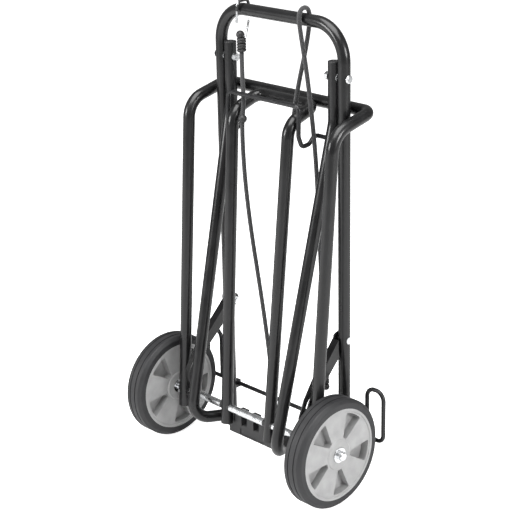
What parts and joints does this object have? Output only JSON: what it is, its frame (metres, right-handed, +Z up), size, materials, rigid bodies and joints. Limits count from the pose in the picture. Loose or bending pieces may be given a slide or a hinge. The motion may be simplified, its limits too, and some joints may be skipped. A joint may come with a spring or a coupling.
{
  "type": "folding platform cart",
  "caption": "Folding platform cart: bent steel tube frame on an axle with spoked wheels and nested platform frames that swing down behind to carry a load.",
  "frame": {"origin": "centre of the cart's footprint on the floor, cords left out", "axes": "+Z up, +X along the axle to the cart's right, +Y to its rear, where the platforms swing down"},
  "size_m": [0.4868, 0.245, 0.8496],
  "materials": {
    "painted_tube": "satin black stoved enamel on steel tube",
    "zinc_plate": "bright zinc plating",
    "steel_rod": "bright drawn steel",
    "coated_wire": "black coated steel wire",
    "black_plastic": "moulded black polypropylene",
    "nylon": "black nylon bush",
    "tyre_rubber": "dark grey solid rubber",
    "rim_plastic": "mid grey moulded polypropylene",
    "stretch_cord": "black braided stretch cord"
  },
  "bodies": {
    "frame": {"handle_tube": "painted_tube", "handle_feet": "black_plastic", "stay_tube": "painted_tube", "post_caps": "black_plastic", "post_spacers": "zinc_plate", "post_bolts": "zinc_plate", "post_nuts": "zinc_plate", "brace_left": "painted_tube", "brace_right": "painted_tube", "brace_bolts": "zinc_plate", "brace_nuts": "zinc_plate", "axle": "steel_rod", "centre_sleeve": "zinc_plate", "side_sleeve_left": "zinc_plate", "side_sleeve_right": "zinc_plate", "hub_sleeve_left": "zinc_plate", "hub_sleeve_right": "zinc_plate", "hub_washer_left": "zinc_plate", "hub_washer_right": "zinc_plate", "axle_cap_left": "zinc_plate", "axle_cap_right": "zinc_plate", "step_block": "black_plastic", "block_screws": "zinc_plate", "rest_bar": "coated_wire", "rest_clips": "black_plastic", "long_cord": "stretch_cord", "long_cord_anchor": "zinc_plate", "long_cord_bead": "black_plastic", "long_cord_crimp": "black_plastic", "long_cord_hook": "coated_wire", "long_cord_ball": "black_plastic", "short_cord": "stretch_cord", "short_cord_crimps": "black_plastic", "short_cord_balls": "black_plastic"},
    "wheel_left": {"tyre_left": "tyre_rubber", "rim_left": "rim_plastic", "bearings_left": "steel_rod"},
    "wheel_right": {"tyre_right": "tyre_rubber", "rim_right": "rim_plastic", "bearings_right": "steel_rod"},
    "outer_platform": {"outer_frame": "painted_tube", "outer_plugs": "black_plastic", "outer_bushes": "nylon"},
    "inner_platform": {"inner_frame": "painted_tube", "inner_plugs": "black_plastic", "inner_bushes": "nylon"},
    "latch": {"latch_wire": "coated_wire"}
  },
  "joints": [
    {"name": "wheel_left_spin", "type": "hinge", "parent": "frame", "child": "wheel_left", "pos_m": [-0.2114, -0.0225, 0.1], "axis": [1, 0, 0], "continuous": true},
    {"name": "wheel_right_spin", "type": "hinge", "parent": "frame", "child": "wheel_right", "pos_m": [0.2114, -0.0225, 0.1], "axis": [1, 0, 0], "continuous": true},
    {"name": "outer_fold", "type": "hinge", "parent": "frame", "child": "outer_platform", "pos_m": [0, -0.0225, 0.1], "axis": [-1, 0, 0], "range_deg": [0, 85.2]},
    {"name": "inner_fold", "type": "hinge", "parent": "frame", "child": "inner_platform", "pos_m": [0, -0.0225, 0.1], "axis": [-1, 0, 0], "range_deg": [0, 85.2]},
    {"name": "latch_swing", "type": "hinge", "parent": "frame", "child": "latch", "pos_m": [0, 0.0695, 0.63], "axis": [1, 0, 0], "range_deg": [0, 70]}
  ],
  "couplings": [
    {"joint": "inner_fold", "follows": "outer_fold", "ratio": 1}
  ]
}
